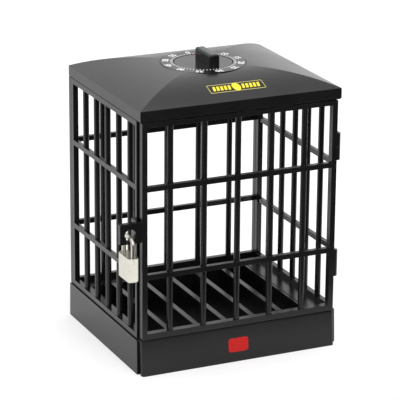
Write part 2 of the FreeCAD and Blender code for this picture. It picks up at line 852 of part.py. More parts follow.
def padlock_body():
    """The padlock's case: a slab with rounded ends, bored for the shackle and the key plug."""
    body = new_body("padlock_body")
    half = s.padlock_width / 2
    side = s.padlock_thickness / 2
    bottom = padlock_top - s.padlock_height
    pad(body, "XY_Plane", bottom, padlock_top, lambda sketch: rectangle(
        sketch, hole_x - side, hole_x + side, padlock_y - half, padlock_y + half))
    ease(body, s.padlock_edge_round, upright)
    bore = s.shackle_wire_radius + s.running_gap
    reach = s.shackle_spread / 2
    pocket(body, "XY_Plane", padlock_top - s.toe_depth - s.fit_gap, padlock_top,
           lambda sketch: ring(sketch, hole_x, padlock_y - reach, bore))
    pocket(body, "XY_Plane", padlock_top - s.heel_depth - s.fit_gap, padlock_top,
           lambda sketch: ring(sketch, hole_x, padlock_y + reach, bore))
    pocket(body, "XY_Plane", bottom, bottom + s.plug_length + s.fit_gap,
           lambda sketch: ring(sketch, hole_x, padlock_y, s.plug_radius + s.running_gap))
    ease(body, s.running_gap * 6, lambda edge: near(edge.CenterOfMass.z, bottom, 0.001)
         and edge.Length > number(s.padlock_edge_round), "Chamfer")
    return node(body)


def padlock_plug():
    """The key plug in the padlock's underside, with its keyway."""
    body = new_body("padlock_plug")
    bottom = padlock_top - s.padlock_height
    pad(body, "XY_Plane", bottom, bottom + s.plug_length,
        lambda sketch: ring(sketch, hole_x, padlock_y, s.plug_radius))
    pocket(body, "XY_Plane", bottom, bottom + s.keyway_depth, lambda sketch: rectangle(
        sketch, hole_x - s.keyway_width / 2, hole_x + s.keyway_width / 2,
        padlock_y - s.keyway_length / 2, padlock_y + s.keyway_length / 2))
    return node(body)


# Lid
def vault_side(half, run, inset, bottom):
    """Outline of one barrel of the roof: upright band, an arc level at its inner end, a flat top."""
    reach = run * run
    radius = (reach + s.roof_rise * s.roof_rise) / (2 * s.roof_rise)
    centre_x = half - run
    centre_z = roof_top - radius
    edge = half - inset
    shoulder = centre_z + root_of((radius - inset) * (radius - inset) - (edge - centre_x) * (edge - centre_x))
    crown = roof_top - inset
    return [(-edge, bottom), (edge, bottom), (edge, shoulder, centre_x, centre_z),
            (centre_x, crown), (-centre_x, crown, -centre_x, centre_z), (-edge, shoulder)]


def vault(name, inset, bottom):
    """The hipped dome: two crossed barrels, each a sketch carried straight across, and their overlap."""
    barrels = []
    across = ((half_width, s.roof_run_side, FreeCAD.Rotation(FreeCAD.Vector(1, 0, 0), 90)),
              (half_depth, s.roof_run_front, FreeCAD.Rotation(FreeCAD.Vector(1, 1, 1), 120)))
    for half, run, turn in across:
        sketch = doc.addObject("Sketcher::SketchObject", f"{name}_profile")
        sketch.Placement = FreeCAD.Placement(FreeCAD.Vector(0, 0, 0), turn)
        outline(sketch, vault_side(half, run, inset, bottom))
        barrel = doc.addObject("Part::Extrusion", f"{name}_barrel")
        barrel.Base = sketch
        barrel.DirMode = "Normal"
        barrel.Solid = True
        barrel.Symmetric = True
        bind(barrel, "LengthFwd", s.case_width)
        barrels.append(barrel)
    return overlap_of(name, barrels)


def lid_shell():
    """The lid: a thin hipped dome with a band, a seat for the dial and four screw bosses inside."""
    outer = vault("roof_outside", as_size(0), cage_top)
    inner = vault("roof_inside", s.shell_wall, cage_top - 1)
    skin = cut("roof_skin", outer, inner)
    bosses = [rod("lid_boss", s.boss_radius, x, y, lid_floor_top, roof_top) for x, y in lid_screw_places]
    collar = rod("dial_collar", s.dial_radius + s.collar_width - s.shell_wall, 0, 0,
                 dial_seat - s.collar_thickness, roof_top)
    core = joined("roof_core", bosses + [collar])
    solid = joined("lid_solid", [skin, overlap_of("roof_core_inside", [core, outer])])
    seat = rod("dial_seat_bore", s.dial_radius + s.dial_gap, 0, 0, dial_seat, roof_top + 1)
    bore = rod("cup_bore", s.cup_radius + s.dial_gap, 0, 0, cage_top - 1, roof_top)
    pilots = [rod("lid_pilot", s.screw_radius + s.pilot_gap, x, y, lid_floor_top,
                  cage_top + s.screw_length) for x, y in lid_screw_places]
    rebate_outer = box("lid_rebate_outer", (-half_width - 1, half_width + 1), (-half_depth - 1, half_depth + 1),
                       (cage_top - 1, cage_top + s.seam_height))
    rebate_inner = box("lid_rebate_inner", (s.seam_depth - half_width, half_width - s.seam_depth),
                       (s.seam_depth - half_depth, half_depth - s.seam_depth),
                       (cage_top - 2, cage_top + 2))
    rebate = cut("lid_rebate", rebate_outer, rebate_inner)
    tools = joined("lid_cutters", [seat, bore, rebate] + pilots)
    return node(cut("lid_shell", solid, tools))


def lid_floor():
    """The plate that closes the lid from below and lets the timer's cup through."""
    body = new_body("lid_floor")
    reach_x = half_width - s.shell_wall - s.fit_gap
    reach_y = half_depth - s.shell_wall - s.fit_gap
    pad(body, "XY_Plane", cage_top, lid_floor_top,
        lambda sketch: rectangle(sketch, -reach_x, reach_x, -reach_y, reach_y))
    pocket(body, "XY_Plane", cage_top, lid_floor_top,
           lambda sketch: ring(sketch, 0, 0, s.cup_radius + s.dial_gap))

    def holes(radius):
        def draw(sketch):
            for x, y in lid_screw_places:
                ring(sketch, x, y, radius)
        return draw

    pocket(body, "XY_Plane", cage_top, lid_floor_top, holes(s.screw_radius + s.fit_gap))
    pocket(body, "XY_Plane", cage_top, cage_top + s.screw_head_height, holes(s.screw_head_radius + s.fit_gap))
    return node(body)


# Timer
def dial_plate():
    """The fixed dial: a plate with a sunk floor that the turning disc runs in."""
    body = new_body("dial_plate")
    bed = s.disc_radius + s.disc_gap
    turned(body, [(s.spindle_radius + s.disc_gap, cup_top), (s.cup_radius, cup_top), (s.cup_radius, dial_seat),
                  (s.dial_radius, dial_seat), (s.dial_radius, roof_top), (bed, roof_top),
                  (bed, dial_seat), (s.spindle_radius + s.disc_gap, dial_seat)])
    return node(body)


def timer_knob():
    """The turning disc and the upright grip across it, which reaches to the disc's front edge."""
    body = new_body("timer_knob")
    disc_bottom = dial_seat + s.disc_lift
    disc_top = disc_bottom + s.disc_thickness
    turned(body, [(0, disc_bottom), (s.disc_radius, disc_bottom), (s.disc_radius, disc_top), (0, disc_top)])
    grip_top = disc_top + s.grip_height
    pad(body, "XY_Plane", disc_bottom, grip_top, lambda sketch: rectangle(
        sketch, -s.grip_width / 2, s.grip_width / 2, -s.grip_front, s.grip_back))
    pocket(body, "XY_Plane", disc_bottom, disc_bottom + s.spindle_socket,
           lambda sketch: ring(sketch, 0, 0, s.spindle_radius + s.pilot_gap))
    ease(body, s.grip_round, lambda edge: (near(edge.CenterOfMass.z, grip_top)
                                           or (upright(edge) and edge.CenterOfMass.z > number(disc_top))))
    return node(body)


def timer_spindle():
    """The spindle that the knob turns, through both movement plates."""
    body = new_body("timer_spindle")
    foot = movement_bottom - s.movement_plate - s.fit_gap
    top = dial_seat + s.disc_lift + s.spindle_socket - s.fit_gap
    turned(body, [(0, foot), (s.spindle_radius, foot), (s.spindle_radius, top), (0, top)])
    return node(body)


def timer_cup():
    """The timer's case, a round cup that hangs under the dial."""
    body = new_body("timer_cup")
    inner = s.cup_radius - s.cup_wall
    turned(body, [(0, cup_floor), (s.cup_radius, cup_floor), (s.cup_radius, cup_top), (inner, cup_top),
                  (inner, cup_floor + s.cup_wall), (0, cup_floor + s.cup_wall)])
    return node(body)


def tooth_outline(teeth, module, addendum=0.85, dedendum=1.15, fill=0.42):
    """Points of a gear's outline: each tooth a trapezoid, narrower at its tip."""
    pitch_radius = teeth * module / 2
    points = []
    for tooth in range(teeth):
        middle = 2 * math.pi * tooth / teeth
        half = math.pi / teeth * fill
        for radius, share in ((pitch_radius - dedendum * module, 1.45), (pitch_radius + addendum * module, 0.55)):
            points.append((radius, middle - half * share))
        for radius, share in ((pitch_radius + addendum * module, 0.55), (pitch_radius - dedendum * module, 1.45)):
            points.append((radius, middle + half * share))
    return points


def escape_outline(teeth, radius, depth):
    """Points of an escape wheel: raked teeth, one face nearly radial and one sloping."""
    points = []
    for tooth in range(teeth):
        angle = 2 * math.pi * tooth / teeth
        step = 2 * math.pi / teeth
        points.append((radius - depth, angle))
        points.append((radius, angle + 0.10 * step))
        points.append((radius - 0.15 * depth, angle + 0.22 * step))
    return points


def plate_from(points, low, high, turn=0.0):
    """A flat piece from an outline in polar points (radius, angle)."""
    corners = [FreeCAD.Vector(r * math.cos(a + turn), r * math.sin(a + turn), low) for r, a in points]
    wire = Part.makePolygon(corners + corners[:1])
    return Part.Face(wire).extrude(FreeCAD.Vector(0, 0, high - low))


def wheel(label, x, y, shape):
    """A node whose shape is worked out, placed on its own arbor."""
    thing = doc.addObject("Part::Feature", label)
    thing.Label = label
    thing.Shape = shape
    thing.Placement = FreeCAD.Placement(FreeCAD.Vector(x, y, 0), FreeCAD.Rotation())
    return node(thing)


def movement():
    """The wind-up movement: two plates on pillars, a three-arbor train, a spring and its barrel."""
    value = SIZES
    module = number(gear_module)
    thick = value["gear_thickness"]
    floor = number(movement_bottom)
    ceiling = number(movement_top) - value["movement_plate"]
    levels = [floor + 0.6 + i * value["gear_step"] for i in range(3)]
    gap = value["running_gap"]
    arbor = value["arbor_radius"]
    main_reach = (MAIN_TEETH + SECOND_PINION_TEETH) * module / 2
    second_reach = (SECOND_TEETH + ESCAPE_PINION_TEETH) * module / 2
    second = (-main_reach, 0.0)
    lean = math.radians(67)
    escape = (second[0] + second_reach * math.cos(lean), second_reach * math.sin(lean))

    spindle = value["spindle_radius"] + value["pilot_gap"]
    main = plate_from(tooth_outline(MAIN_TEETH, module), levels[0], levels[0] + thick)
    hub = Part.makeCylinder(value["hub_radius"], thick * 2, FreeCAD.Vector(0, 0, levels[0]))
    bore = Part.makeCylinder(spindle, ceiling - floor, FreeCAD.Vector(0, 0, floor))
    wheel("main_wheel", 0, 0, main.fuse(hub).cut(bore))

    pinion_turn = math.pi / SECOND_PINION_TEETH
    pinion = plate_from(tooth_outline(SECOND_PINION_TEETH, module), levels[0] - 0.2, levels[0] + thick + 0.2,
                        pinion_turn)
    staff = Part.makeCylinder(arbor, ceiling - floor - 0.4, FreeCAD.Vector(0, 0, floor + 0.2))
    wheel("second_pinion", second[0], second[1], pinion.fuse(staff))
    arbor_bore = Part.makeCylinder(arbor + value["pilot_gap"], ceiling - floor, FreeCAD.Vector(0, 0, floor))
    big = plate_from(tooth_outline(SECOND_TEETH, module), levels[1], levels[1] + thick * 0.8, lean)
    wheel("second_wheel", second[0], second[1], big.cut(arbor_bore))

    small_turn = lean + math.pi + math.pi / ESCAPE_PINION_TEETH
    small = plate_from(tooth_outline(ESCAPE_PINION_TEETH, module), levels[1] - 0.2, levels[1] + thick, small_turn)
    wheel("escape_pinion", escape[0], escape[1], small.fuse(staff))
    escape_radius = number(spring_barrel_radius) * 0.38
    teeth = plate_from(escape_outline(ESCAPE_TEETH, escape_radius, 1.2), levels[2], levels[2] + thick * 0.7)
    wheel("escape_wheel", escape[0], escape[1], teeth.cut(arbor_bore))

    return second, escape


second_arbor, escape_arbor = movement()


def movement_plates():
    """Top and bottom plates, pierced for the arbors, and the pillars between them."""
    pillar_places = []
    for angle in (90, 210, 330):
        turn = math.radians(angle)
        pillar_places.append((pillar_reach * math.cos(turn), pillar_reach * math.sin(turn)))
    for label, low in (("movement_bottom_plate", movement_bottom - s.movement_plate),
                       ("movement_top_plate", movement_top - s.movement_plate)):
        disc = rod(f"{label}_disc", movement_radius, 0, 0, low, low + s.movement_plate)
        hole = rod(f"{label}_hole", s.spindle_radius + s.running_gap, 0, 0, low - 1, low + s.movement_plate + 1)
        node(cut(label, disc, hole), label)
    pillars = [rod("pillar", s.pillar_radius, x, y, movement_bottom, movement_top - s.movement_plate)
               for x, y in pillar_places]
    feet = [rod("pillar_foot", s.pillar_radius, x, y, cup_floor + s.cup_wall,
                movement_bottom - s.movement_plate) for x, y in pillar_places]
    node(group("movement_pillars", pillars))
    node(group("movement_feet", feet))


def spring_barrel():
    """The shallow drum that holds the mainspring, fixed under the top plate."""
    body = new_body("spring_barrel")
    top = movement_top - s.movement_plate
    bottom = top - s.barrel_cup_height
    inner = spring_barrel_radius - s.barrel_cup_wall
    hole = s.spindle_radius + s.fit_gap
    turned(body, [(hole, bottom), (spring_barrel_radius, bottom), (spring_barrel_radius, top), (inner, top),
                  (inner, bottom + s.barrel_cup_wall), (hole, bottom + s.barrel_cup_wall)])
    return node(body)


def mainspring():
    """The flat spiral spring: a strip between two spirals that grow by the same step each turn."""
    value = SIZES
    inner = value["spindle_radius"] + 0.35
    outer = number(spring_barrel_radius) - value["barrel_cup_wall"] - value["spring_strip"] - 0.05
    turns = 5
    per_turn = 16
    ceiling = number(movement_top) - value["movement_plate"]
    low = ceiling - value["barrel_cup_height"] + value["barrel_cup_wall"] + 0.1
    steps = turns * per_turn

    def spiral(offset):
        points = []
        for i in range(steps + 1):
            angle = 2 * math.pi * i / per_turn
            radius = inner + (outer - inner) * i / steps + offset
            points.append(FreeCAD.Vector(radius * math.cos(angle), radius * math.sin(angle), low))
        return points

    inside = spiral(0.0)
    outside = spiral(value["spring_strip"])
    outside.reverse()
    wire = Part.makePolygon(inside + outside + inside[:1])
    strip = Part.Face(wire).extrude(FreeCAD.Vector(0, 0, value["spring_height"]))
    wheel("mainspring", 0, 0, strip)


def gong():
    """The bell under the movement: a shallow dished cup on a post."""
    body = new_body("gong")
    top = gong_bottom + s.gong_height
    inner = gong_radius - s.gong_wall
    hole = s.pillar_radius + s.pilot_gap
    turned(body, [(hole, gong_bottom), (gong_radius - s.gong_wall * 2, gong_bottom),
                  (gong_radius, gong_bottom + s.gong_wall * 2), (gong_radius, top), (inner, top),
                  (inner, gong_bottom + s.gong_wall * 2), (gong_radius - s.gong_wall * 3, gong_bottom + s.gong_wall),
                  (hole, gong_bottom + s.gong_wall)])
    return node(body)


def gong_post():
    """The headed post that carries the gong on the cup's floor."""
    body = new_body("gong_post")
    floor = cup_floor + s.cup_wall
    shoulder = s.pillar_radius * 2
    top = gong_bottom + s.gong_wall
    turned(body, [(0, floor), (shoulder, floor), (shoulder, gong_bottom), (s.pillar_radius, gong_bottom),
                  (s.pillar_radius, top), (shoulder, top), (shoulder, top + s.gong_wall), (0, top + s.gong_wall)])
    return node(body)


def bell_hammer():
    """The hammer: an arm on its own arbor, with a head just outside the gong's rim."""
    head_reach = gong_radius + s.hammer_gap + s.hammer_head_radius
    pivot_angle = math.radians(-60)
    head_angle = math.radians(-92)
    pivot_reach = head_reach
    pivot = (pivot_reach * math.cos(pivot_angle), pivot_reach * math.sin(pivot_angle))
    head = (head_reach * math.cos(head_angle), head_reach * math.sin(head_angle))
    level = gong_bottom + s.gong_height / 2
    arm_level = gong_bottom + s.gong_height + s.fit_gap * 2
    arbor_top = movement_bottom - s.movement_plate - s.fit_gap
    staff = rod("hammer_staff", s.arbor_radius, pivot[0], pivot[1], cup_floor + s.cup_wall + s.fit_gap, arbor_top)
    knob = rod("hammer_head", s.hammer_head_radius, head[0], head[1], level, arm_level + s.movement_plate)
    arm = doc.addObject("Part::Box", "hammer_arm")
    run_x = number(head[0]) - number(pivot[0])
    run_y = number(head[1]) - number(pivot[1])
    turn = math.degrees(math.atan2(run_y, run_x))
    bind(arm, "Length", root_of((head[0] - pivot[0]) * (head[0] - pivot[0])
                                + (head[1] - pivot[1]) * (head[1] - pivot[1])))
    bind(arm, "Width", s.arbor_radius)
    bind(arm, "Height", s.movement_plate)
    arm.Placement.Rotation = FreeCAD.Rotation(FreeCAD.Vector(0, 0, 1), turn)
    place(arm, pivot[0], pivot[1], arm_level)
    return node(joined("bell_hammer", [staff, knob, arm]))


# Build every piece, then check and write them
base_tray()
base_front_panel()
phone_rack()
base_bottom_plate()
rubber_pads()
screws("base_screws", base_screw_places, as_size(s.fit_gap))
side_grille("left_grille", -1)
side_grille("right_grille", 1)
back_grille()
cage_hasp()
door_grille()
door_hasp()
hinge_pin("lower_hinge_pin", hinge_levels[0])
hinge_pin("upper_hinge_pin", hinge_levels[1])
padlock_shackle()
padlock_body()
padlock_plug()
lid_shell()
lid_floor()
screws("lid_screws", lid_screw_places, cage_top)
dial_plate()
timer_knob()
timer_spindle()
timer_cup()
movement_plates()
spring_barrel()
mainspring()
gong()
gong_post()
bell_hammer()
doc.recompute()

for thing in doc.Objects:
    if "Invalid" in thing.State or "Error" in thing.State:
        raise RuntimeError(f"{thing.Label} failed: {thing.State}")
for thing in NODE_OBJECTS:
    shape = thing.Shape
    if shape.isNull() or not shape.isValid() or not shape.Solids:
        raise RuntimeError(f"{thing.Label} has no valid solid")
    shape.exportStep(f"{NODES}/{thing.Label}.step")
    box_of = shape.BoundBox
    print(f"{thing.Label:24s} {len(shape.Solids)} solid(s) {shape.Volume:9.1f} mm3  "
          f"x {box_of.XMin:7.2f} {box_of.XMax:7.2f}  y {box_of.YMin:7.2f} {box_of.YMax:7.2f}  "
          f"z {box_of.ZMin:7.2f} {box_of.ZMax:7.2f}")
print(len(NODE_OBJECTS), "nodes")
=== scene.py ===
# %% [markdown]
# # A timed lock container
#
# The object is a small black cage of moulded plastic. A barred door closes its front, a padlock
# hangs from the hasp at the left, and a wind-up timer sits in the hipped lid. The solids come
# ready-made from the CAD part, so this lesson adds what a solid can't say: the finishes, the
# printing on the dial, the two small plates, the light and the camera.

import json
import math

import bpy
import numpy as np
from mathutils import Matrix, Vector


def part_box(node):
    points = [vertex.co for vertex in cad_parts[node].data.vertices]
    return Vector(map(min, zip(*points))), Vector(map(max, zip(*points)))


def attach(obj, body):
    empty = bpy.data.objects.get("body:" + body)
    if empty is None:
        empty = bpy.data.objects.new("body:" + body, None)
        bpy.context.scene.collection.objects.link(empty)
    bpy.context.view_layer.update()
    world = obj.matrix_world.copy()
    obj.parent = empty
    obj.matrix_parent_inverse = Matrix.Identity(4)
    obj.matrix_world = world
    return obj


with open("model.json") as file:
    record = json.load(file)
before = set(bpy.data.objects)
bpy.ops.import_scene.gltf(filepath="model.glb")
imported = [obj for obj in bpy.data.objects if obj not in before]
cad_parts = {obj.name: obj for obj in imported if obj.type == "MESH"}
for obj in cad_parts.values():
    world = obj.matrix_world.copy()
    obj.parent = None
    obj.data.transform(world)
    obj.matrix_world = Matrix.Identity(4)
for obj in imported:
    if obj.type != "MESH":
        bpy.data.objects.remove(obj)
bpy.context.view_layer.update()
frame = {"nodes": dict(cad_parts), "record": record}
nodes = frame["nodes"]

# %% [markdown]
# Every place on the object is written in millimetres, as a drawing would give it, and turned into
# metres where its mesh is made. The few sizes that the printing needs are read off the solids
# themselves. Only the disc's face can't be read off a box, because the grip stands higher.

# %% Units and the places that the print needs
MM = 0.001


def node_box(name):
    """The lowest and highest corner of one CAD node, in millimetres."""
    return [np.array(corner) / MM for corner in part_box(name)]


lid_low, lid_high = node_box("lid_shell")
fascia_low, fascia_high = node_box("base_front_panel")
DIAL_RADIUS, _, DIAL_TOP = node_box("dial_plate")[1]
DISC_RADIUS = node_box("timer_knob")[1][0]
DISC_TOP = 176.2
print(f"dial: radius {DIAL_RADIUS:.1f}, face at {DIAL_TOP:.2f}, disc radius {DISC_RADIUS:.1f}")

# %% [markdown]
# ## Finishes
#
# Nearly everything here is one material: black plastic from a mould with a fine spark-eroded
# grain. Such a surface isn't one colour. It is a little paler where it has been handled, its
# gloss drifts over a few centimetres, and a very fine grain breaks up each reflection. All three
# come from noise on Object coordinates, which stay with the piece when the door opens.

# %% Materials, noise and colour ramps


def new_material(name):
    """An empty material with a Principled shader, its tree and its shader."""
    material = bpy.data.materials.new(name)
    material.use_nodes = True
    tree = material.node_tree
    return material, tree, tree.nodes["Principled BSDF"]


def noise_on(tree, scale, detail=3.0, roughness=0.55, stretch=(1.0, 1.0, 1.0)):
    """Noise on Object coordinates: scale is in cells to the metre, stretch scales each axis."""
    place = tree.nodes.new("ShaderNodeTexCoord")
    mapping = tree.nodes.new("ShaderNodeMapping")
    mapping.inputs["Scale"].default_value = stretch
    noise = tree.nodes.new("ShaderNodeTexNoise")
    noise.inputs["Scale"].default_value = scale
    noise.inputs["Detail"].default_value = detail
    noise.inputs["Roughness"].default_value = roughness
    tree.links.new(place.outputs["Object"], mapping.inputs["Vector"])
    tree.links.new(mapping.outputs["Vector"], noise.inputs["Vector"])
    return noise.outputs["Fac"]


def ramp(tree, factor, low, high, start=0.35, stop=0.65):
    """A colour that runs from low to high as factor runs from start to stop."""
    node = tree.nodes.new("ShaderNodeValToRGB")
    node.color_ramp.elements[0].position = start
    node.color_ramp.elements[1].position = stop
    node.color_ramp.elements[0].color = (*low, 1.0)
    node.color_ramp.elements[1].color = (*high, 1.0)
    tree.links.new(factor, node.inputs["Fac"])
    return node.outputs["Color"]


# %% [markdown]
# A noise lies mostly between 0.3 and 0.7, and Map Range turns that middle into the range that a
# finish needs. The same node turns a height on the object, or a direction, into a change of finish.

# %% Numbers that vary


def map_range(tree, value, start, stop, low, high):
    """A number that runs from low to high as value runs from start to stop."""
    node = tree.nodes.new("ShaderNodeMapRange")
    for name, number in (("From Min", start), ("From Max", stop), ("To Min", low), ("To Max", high)):
        node.inputs[name].default_value = number
    tree.links.new(value, node.inputs["Value"])
    return node.outputs["Result"]


def spread(tree, factor, low, high):
    """A number that runs from low to high over the middle of a noise, 0.3 to 0.7."""
    return map_range(tree, factor, 0.3, 0.7, low, high)


def axis_of(tree, output, axis):
    """One axis of the texture coordinate that output names."""
    place = tree.nodes.new("ShaderNodeTexCoord")
    split = tree.nodes.new("ShaderNodeSeparateXYZ")
    tree.links.new(place.outputs[output], split.inputs["Vector"])
    return split.outputs[axis]


# %% [markdown]
# A real edge is never sharp and a real face is never quite smooth. The bevel node averages the
# normal near an edge and the bump node tilts it by a height, and neither changes the mesh. The
# bump starts from the bevelled normal, so the two work together.

# %% Edges and bumps


def soft_edges(tree, radius_mm):
    """A normal that is averaged over a short distance, so that sharp edges catch the light."""
    node = tree.nodes.new("ShaderNodeBevel")
    node.samples = 4
    node.inputs["Radius"].default_value = radius_mm * MM
    return node.outputs["Normal"]


def bump(tree, height, depth_mm, normal=None):
    """A bump from a height between 0 and 1, as deep as depth_mm."""
    node = tree.nodes.new("ShaderNodeBump")
    node.inputs["Strength"].default_value = 1.0
    node.inputs["Distance"].default_value = depth_mm * MM
    tree.links.new(height, node.inputs["Height"])
    if normal is not None:
        tree.links.new(normal, node.inputs["Normal"])
    return node.outputs["Normal"]


# %% [markdown]
# The case and the grilles share one satin black. The dial is the same plastic with a smoother
# face, and the plates inside are duller. The colours are very dark, because nearly all that the
# eye sees of black plastic is what it mirrors.

# %% The black plastics
DIAL_DARK = (0.005, 0.005, 0.0055)
DIAL_PALE = (0.008, 0.008, 0.0085)
PLASTIC_IOR = 1.52


def moulded_plastic(name, dark, pale, gloss, grain_mm=0.004, edge_mm=0.35):
    """Moulded plastic: cloudy colour, drifting gloss, fine grain and slightly rounded edges."""
    material, tree, shader = new_material(name)
    cloud = noise_on(tree, 45.0, detail=4.0)
    drift = noise_on(tree, 22.0, detail=2.0)
    grain = noise_on(tree, 2600.0, detail=2.0)
    tree.links.new(ramp(tree, cloud, dark, pale), shader.inputs["Base Color"])
    tree.links.new(spread(tree, drift, *gloss), shader.inputs["Roughness"])
    tree.links.new(bump(tree, grain, grain_mm, soft_edges(tree, edge_mm)), shader.inputs["Normal"])
    shader.inputs["IOR"].default_value = PLASTIC_IOR
    return material


case_plastic = moulded_plastic("satin_black_case", (0.0038, 0.0038, 0.0042), (0.0062, 0.0062, 0.0067),
                               (0.20, 0.28))
dial_plastic = moulded_plastic("satin_black_dial", DIAL_DARK, DIAL_PALE, (0.20, 0.26),
                               grain_mm=0.002, edge_mm=0.2)
inner_plastic = moulded_plastic("matt_black_inside", (0.012, 0.012, 0.013), (0.022, 0.022, 0.023),
                                (0.5, 0.62))
pad_rubber = moulded_plastic("black_rubber", (0.018, 0.018, 0.018), (0.03, 0.03, 0.03), (0.7, 0.85),
                             grain_mm=0.02)

# %% [markdown]
# The turning disc was faced on a lathe-like tool, so its face shows very fine rings about its
# centre. A wave texture in rings about Z gives them. The height is a few thousandths of a
# millimetre: only the highlight tells. The grip's upright sides are duller than what faces up,
# which the normal's own Z tells apart.

# %% The knob's turned face


def turned_plastic(name):
    """The dial's plastic with fine rings about the Z axis."""
    material, tree, shader = new_material(name)
    place = tree.nodes.new("ShaderNodeTexCoord")
    wave = tree.nodes.new("ShaderNodeTexWave")
    wave.wave_type = "RINGS"
    wave.rings_direction = "Z"
    wave.inputs["Scale"].default_value = 420.0
    wave.inputs["Distortion"].default_value = 0.4
    wave.inputs["Detail"].default_value = 2.0
    tree.links.new(place.outputs["Object"], wave.inputs["Vector"])
    cloud = noise_on(tree, 60.0)
    tree.links.new(ramp(tree, cloud, DIAL_DARK, DIAL_PALE), shader.inputs["Base Color"])
    tree.links.new(spread(tree, cloud, 0.18, 0.26), shader.inputs["Roughness"])
    normal = bump(tree, wave.outputs["Fac"], 0.0015, soft_edges(tree, 0.3))
    tree.links.new(normal, shader.inputs["Normal"])
    shine = map_range(tree, axis_of(tree, "Normal", "Z"), 0.3, 0.8, 0.2, 0.5)
    tree.links.new(shine, shader.inputs["Specular IOR Level"])
    shader.inputs["IOR"].default_value = PLASTIC_IOR
    return material


knob_plastic = turned_plastic("turned_black_knob")

# %% [markdown]
# Metals need what is around them to look like metal, so their colour is pale and even, and the
# work is in the roughness: long fine scratches for rolled steel, cloudy plating for the padlock.
# The padlock's cream plating scatters most of its light. Only its top, round the shackle's legs,
# is bare metal and mirrors the dark hasp above it.

# %% The metals
UPRIGHT = (1.0, 1.0, 0.08)
SCRATCH_MM = 0.002


def worked_metal(name, colour, tarnish, gloss, stretch=(1.0, 1.0, 1.0), edge_mm=0.2, metallic=1.0):
    """Metal: cloudy tarnish, streaked gloss and fine scratches along the axis that stretch keeps low."""
    material, tree, shader = new_material(name)
    cloud = noise_on(tree, 160.0, detail=4.0)
    streak = noise_on(tree, 1400.0, detail=3.0, stretch=stretch)
    tree.links.new(ramp(tree, cloud, tarnish, colour), shader.inputs["Base Color"])
    tree.links.new(spread(tree, streak, *gloss), shader.inputs["Roughness"])
    tree.links.new(bump(tree, streak, SCRATCH_MM, soft_edges(tree, edge_mm)), shader.inputs["Normal"])
    shader.inputs["Metallic"].default_value = metallic
    return material


def satin_plate(name, colour, tarnish, bare_from_mm):
    """Cream plating that scatters most light; above bare_from_mm the metal is bare and mirrors."""
    material = worked_metal(name, colour, tarnish, (0.26, 0.40), stretch=UPRIGHT, edge_mm=0.5)
    tree = material.node_tree
    start, stop = bare_from_mm * MM, (bare_from_mm + 0.3) * MM
    bare = map_range(tree, axis_of(tree, "Object", "Z"), start, stop, 0.12, 1.0)
    tree.links.new(bare, tree.nodes["Principled BSDF"].inputs["Metallic"])
    return material


padlock_metal = satin_plate("cream_plate", (0.79, 0.765, 0.675), (0.72, 0.695, 0.605), 77.9)
shackle_metal = worked_metal("nickel_plate", (0.92, 0.90, 0.83), (0.80, 0.78, 0.70), (0.18, 0.30),
                             stretch=UPRIGHT, edge_mm=0.5, metallic=0.45)
pin_steel = worked_metal("plain_steel", (0.62, 0.62, 0.63), (0.45, 0.45, 0.46), (0.22, 0.38),
                         stretch=(1.0, 1.0, 0.05))
screw_steel = worked_metal("blackened_steel", (0.16, 0.16, 0.17), (0.10, 0.10, 0.11), (0.35, 0.5))
movement_brass = worked_metal("plain_brass", (0.78, 0.60, 0.30), (0.62, 0.45, 0.20), (0.18, 0.34),
                              stretch=(1.0, 0.1, 1.0))
gong_steel = worked_metal("polished_gong", (0.80, 0.80, 0.81), (0.70, 0.70, 0.71), (0.08, 0.18))
print("padlock:", padlock_metal.name, "and", shackle_metal.name)

# %% [markdown]
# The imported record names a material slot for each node, and a table turns the slot into a finish.
# Two nodes get a finish of their own: the dial plate, which is smoother than the case, and the
# shackle, which is shinier than the padlock's body.

# %% Each node gets its finish
FINISHES = {
    "case_plastic": case_plastic,
    "inner_plastic": inner_plastic,
    "knob_plastic": knob_plastic,
    "pad_rubber": pad_rubber,
    "padlock_metal": padlock_metal,
    "pin_steel": pin_steel,
    "screw_steel": screw_steel,
    "movement_brass": movement_brass,
    "gong_steel": gong_steel,
}
OWN_FINISH = {"dial_plate": dial_plastic, "shackle": shackle_metal}
slot_of = {part["node"]: part["material_slot"] for part in frame["record"]["subparts"]}
for name, thing in nodes.items():
    finish = OWN_FINISH.get(name, FINISHES[slot_of[name]])
    for place in thing.material_slots:
        place.material = finish
print("finishes:", len(FINISHES) + len(OWN_FINISH))

# %% [markdown]
# ## Print on the dial
#
# The ring around the disc is printed in white: a number every five minutes, clockwise from nought
# at the back, and a stroke for each minute near the disc's edge. Print is a film of ink, so each
# stroke is a thin slab that stands a few hundredths of a millimetre over the plastic. The strokes
# are one array: a unit box, scaled, turned about Z and moved out, for all minutes at once.

# %% Print inks


def ink(name, colour, worn):
    """A film of ink: even colour with slightly worn patches and a low gloss."""
    material, tree, shader = new_material(name)
    tree.links.new(ramp(tree, noise_on(tree, 700.0, detail=4.0), worn, colour, 0.3, 0.5),
                   shader.inputs["Base Color"])
    shader.inputs["Roughness"].default_value = 0.45
    shader.inputs["Specular IOR Level"].default_value = 0.3
    return material


white_ink = ink("white_ink", (0.90, 0.90, 0.90), (0.78, 0.78, 0.78))
red_ink = ink("red_ink", (0.40, 0.03, 0.03), (0.30, 0.025, 0.025))
yellow_ink = ink("yellow_ink", (0.83, 0.70, 0.03), (0.72, 0.60, 0.03))
label_black = ink("label_black", (0.010, 0.010, 0.011), (0.014, 0.014, 0.015))
label_red = ink("label_red", (0.50, 0.008, 0.006), (0.42, 0.006, 0.005))
border_ink = ink("border_ink", (0.62, 0.55, 0.20), (0.50, 0.44, 0.16))

# %% [markdown]
# Two helpers follow. One makes an object from arrays and lets it ride on a body of the mechanism,
# so that it moves with its piece. The other lays many slabs about the dial's axis at once.

